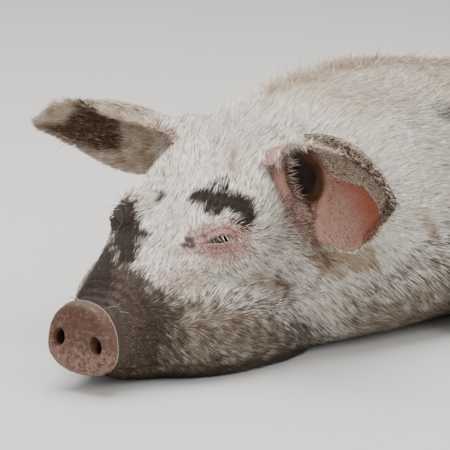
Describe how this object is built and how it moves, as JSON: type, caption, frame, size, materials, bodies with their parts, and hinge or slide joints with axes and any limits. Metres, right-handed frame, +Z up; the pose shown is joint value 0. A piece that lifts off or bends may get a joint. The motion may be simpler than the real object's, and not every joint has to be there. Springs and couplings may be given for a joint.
{
  "type": "lying pig model",
  "caption": "Life-size still model of a growing pig lying on its belly, chin on the floor, ears spread, legs folded at its sides.",
  "frame": {"origin": "middle of the underside of the whole animal's box, on the floor", "axes": "+Z up, -Y the way the body faces, +X the pig's left; the head is turned 10 degrees to the pig's left"},
  "size_m": [0.4538, 1.1926, 0.2674],
  "materials": {
    "skin": "pink skin under a short cream-white bristle coat, grey-brown mud on the muzzle and underside",
    "snout_skin": "bare moist salmon-pink skin with fine pores",
    "eye": "wet and glossy",
    "hoof_horn": "dull horn"
  },
  "bodies": {
    "root": {"head": "skin", "lower_jaw": "skin", "neck": "skin", "trunk": "skin", "ear_left": "skin", "ear_right": "skin", "tail": "skin", "foreleg_left": "skin", "foreleg_right": "skin", "hindleg_left": "skin", "hindleg_right": "skin", "snout_disc": "snout_skin", "eye_left": "eye", "eye_right": "eye", "foreleg_left_claw_inner": "hoof_horn", "foreleg_left_claw_outer": "hoof_horn", "foreleg_left_dewclaw_inner": "hoof_horn", "foreleg_left_dewclaw_outer": "hoof_horn", "foreleg_right_claw_inner": "hoof_horn", "foreleg_right_claw_outer": "hoof_horn", "foreleg_right_dewclaw_inner": "hoof_horn", "foreleg_right_dewclaw_outer": "hoof_horn", "hindleg_left_claw_inner": "hoof_horn", "hindleg_left_claw_outer": "hoof_horn", "hindleg_left_dewclaw_inner": "hoof_horn", "hindleg_left_dewclaw_outer": "hoof_horn", "hindleg_right_claw_inner": "hoof_horn", "hindleg_right_claw_outer": "hoof_horn", "hindleg_right_dewclaw_inner": "hoof_horn", "hindleg_right_dewclaw_outer": "hoof_horn"}
  },
  "joints": []
}
